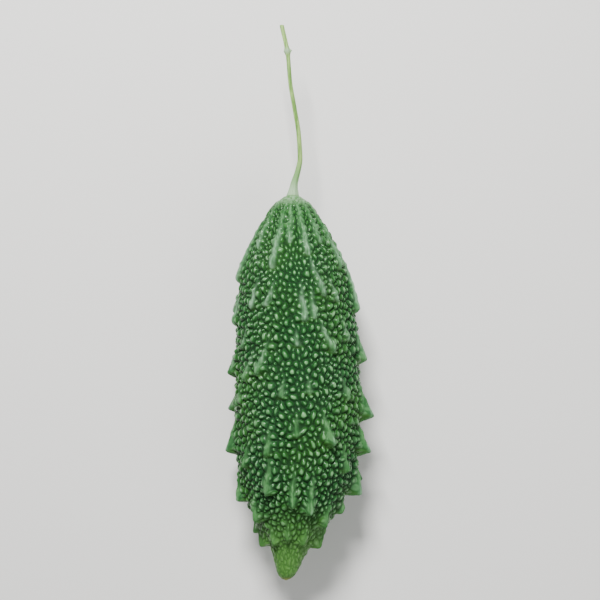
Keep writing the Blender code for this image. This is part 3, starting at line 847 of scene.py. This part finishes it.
def skin_finish():
    """Waxy skin with dark valleys of partly painted shade, pale beads and crests that are partly a painted
    highlight, and other colours towards both ends.
    """
    nodes = Nodes("gourd_skin_fine")
    bead, tone, tooth = nodes.reading("bead"), nodes.reading("tone"), nodes.reading("tooth")
    edge, lee, along = nodes.reading("edge"), nodes.reading("lee"), nodes.reading("along")
    cloud = nodes.noise(CLOUD_SCALE, 3.0)
    grain = nodes.noise(GRAIN_SCALE, 2.0)
    pore = nodes.noise(PORE_SCALE, 2.0)
    patches = nodes.ramp(nodes.noise(PATCH_SCALE, 2.0), *PATCHES)
    clouds = nodes.ramp(cloud, *CLOUDS)
    streaks = nodes.ramp(nodes.noise(STREAK_SCALE, 3.0, SKIN_STREAKING), *STREAKS)

    # Dark valleys, partly painted shade, green beads with pale tops that are partly a painted highlight, and
    # fine pores
    crown_and_highlight = nodes.blend(tone, CROWN_AND_HIGHLIGHT)
    shaded_valley, flesh = nodes.blend(patches, VALLEY_AND_SHADE), nodes.blend(patches, FLESH)
    body = nodes.mix(nodes.ramp(bead, *FLESH_BAND), shaded_valley, flesh)
    body = nodes.mix(nodes.ramp(bead, *CROWN_BAND), body, crown_and_highlight)
    pores = nodes.math("MULTIPLY", nodes.ramp(pore, *PORE_SPOTS), PORE_STRENGTH)
    body = nodes.mix(pores, body, srgb(*PORES))

    # The teeth: green flanks, yellower on the side of the tip, and pale crests that are partly a painted
    # highlight
    flank = nodes.blend(clouds, FLANK)
    beaded = nodes.math("MULTIPLY", nodes.ramp(bead, *FLANK_BEAD_BAND), FLANK_BEAD_STRENGTH)
    flank = nodes.mix(beaded, flank, crown_and_highlight)
    body = nodes.mix(nodes.ramp(tooth, *FLANK_BAND), body, flank)
    body = nodes.mix(nodes.math("MULTIPLY", lee, LEE_STRENGTH), body, srgb(*LEE))
    high = nodes.math("MAXIMUM", nodes.ramp(along, *HIGH_CREST_BAND), nodes.ramp(tooth, *TALL_CREST_BAND))
    pale = nodes.mix(high, nodes.blend(streaks, LOW_CREST_AND_HIGHLIGHT), nodes.blend(streaks, HIGH_CREST_AND_HIGHLIGHT))
    shown = nodes.math("MULTIPLY", edge, nodes.ramp(cloud, *CLOUDS, *CREST_STRENGTHS))
    body = nodes.mix(shown, body, pale)

    # The two ends
    beak = nodes.blend(nodes.ramp(bead, *BEAK_BEAD_BAND), BEAK)
    body = nodes.mix(nodes.ramp(along, *BEAK_BAND), body, beak)
    # The shoulder: painted shade in the valleys between its beads, and pale ribs that are partly a painted
    # highlight
    shoulder = nodes.blend(nodes.ramp(bead, *SHOULDER_BEAD_BAND), SHOULDER_AND_SHADE)
    rib = nodes.blend(streaks, SHOULDER_RIB_AND_HIGHLIGHT)
    shoulder = nodes.mix(nodes.math("MULTIPLY", edge, RIB_STRENGTH), shoulder, rib)
    body = nodes.mix(nodes.ramp(along, *SHOULDER_BAND), body, shoulder)
    body = nodes.mix(nodes.ramp(along, *RIM_BAND), body, nodes.blend(streaks, RIM))
    body = nodes.mix(nodes.ramp(along, *SCAR_BAND), body, srgb(*SCAR))

    relief = nodes.bump(pore, *PORE_RELIEF, nodes.bump(grain, *GRAIN_RELIEF))
    roughness = nodes.ramp(bead, *SHINE_BAND, VALLEY_ROUGHNESS, BEAD_ROUGHNESS)
    nodes.put(nodes.shader.inputs["Base Color"], body)
    nodes.put(nodes.shader.inputs["Roughness"], roughness)
    nodes.put(nodes.shader.inputs["Normal"], relief)
    nodes.shader.inputs["Specular IOR Level"].default_value = SPECULAR
    nodes.shader.inputs["Specular Tint"].default_value = GREEN_TINT
    return nodes.material


def stalk_finish():
    """Light green with fine streaks and specks, paler at the collar and the joint, with a pale pith."""
    nodes = Nodes("gourd_stalk_fine")
    mark, cut = nodes.reading("mark"), nodes.reading("cut")
    streak = nodes.noise(STREAK_SCALE, 3.0, STALK_STREAKING)
    speck = nodes.noise(SPECK_SCALE, 2.0)
    body = nodes.blend(nodes.ramp(streak, *STREAKS), STALK_GREEN)
    specks = nodes.math("MULTIPLY", nodes.ramp(speck, *SPECKS), SPECK_STRENGTH)
    body = nodes.mix(specks, body, srgb(*STALK_SPECK))
    body = nodes.mix(nodes.ramp(mark, *STALK_BASE_BAND), body, srgb(*STALK_BASE))
    body = nodes.mix(nodes.ramp(mark, *COLLAR_BAND), body, srgb(*COLLAR))
    body = nodes.mix(nodes.ramp(mark, *FOOT_BAND), body, srgb(*FOOT))
    joint = nodes.math("ABSOLUTE", nodes.math("SUBTRACT", mark, JOINT_MARK / STALK_LENGTH))
    body = nodes.mix(nodes.ramp(joint, *JOINT_BAND, 0.0, JOINT_STRENGTH), body, srgb(*JOINT))
    pith = nodes.blend(nodes.ramp(cut, *PITH_BAND), PITH)
    body = nodes.mix(nodes.math("GREATER_THAN", cut, CUT_START), body, pith)

    relief = nodes.bump(speck, *SPECK_RELIEF, nodes.bump(streak, *STREAK_RELIEF))
    roughness = nodes.ramp(speck, *STALK_SHINE_BAND, *STALK_ROUGHNESS)
    nodes.put(nodes.shader.inputs["Base Color"], body)
    nodes.put(nodes.shader.inputs["Roughness"], roughness)
    nodes.put(nodes.shader.inputs["Normal"], relief)
    nodes.shader.inputs["Specular IOR Level"].default_value = SPECULAR
    return nodes.material


def build_floor():
    mesh = bpy.data.meshes.new("floor")
    corners = [(x * FLOOR_REACH, y * FLOOR_REACH, 0) for x, y in ((-1, -1), (1, -1), (1, 1), (-1, 1))]
    mesh.from_pydata(corners, [], [(0, 1, 2, 3)])
    nodes = Nodes("floor")
    nodes.shader.inputs["Base Color"].default_value = FLOOR_COLOUR
    nodes.shader.inputs["Roughness"].default_value = FLOOR_ROUGHNESS
    mesh.materials.append(nodes.material)
    floor = add_object("floor", mesh)


def turned_to(aim, place):
    """The rotation that points a light or a camera at place towards aim."""
    return (Vector(aim) - Vector(place)).to_track_quat("-Z", "Y").to_euler()


def add_light(name, place, size, power):
    lamp = bpy.data.lights.new(name, "AREA")
    lamp.size = size
    lamp.energy = power
    made = add_object(name, lamp)
    made.location = place
    made.rotation_euler = turned_to(AIM, place)


def set_studio():
    build_floor()
    add_light("key", KEY_PLACE, KEY_SIZE, KEY_POWER)
    add_light("fill", FILL_PLACE, FILL_SIZE, FILL_POWER)
    world = bpy.data.worlds.new("studio")
    world.use_nodes = True
    sky = world.node_tree.nodes["Background"]
    sky.inputs["Color"].default_value = SKY_COLOUR
    sky.inputs["Strength"].default_value = SKY_STRENGTH
    bpy.context.scene.world = world


def set_camera():
    """Looks down on the gourd nearly square to its length, as the photo does."""
    camera = add_object("camera", bpy.data.cameras.new("camera"))
    camera.data.lens = CAMERA_LENS
    back = Vector((0, -math.cos(CAMERA_RISE), math.sin(CAMERA_RISE)))
    camera.location = Vector(AIM) + back * CAMERA_DISTANCE
    camera.rotation_euler = turned_to(AIM, camera.location)
    bpy.context.scene.camera = camera


build_fruit(skin_finish())
build_stalk(stalk_finish())
set_studio()
set_camera()
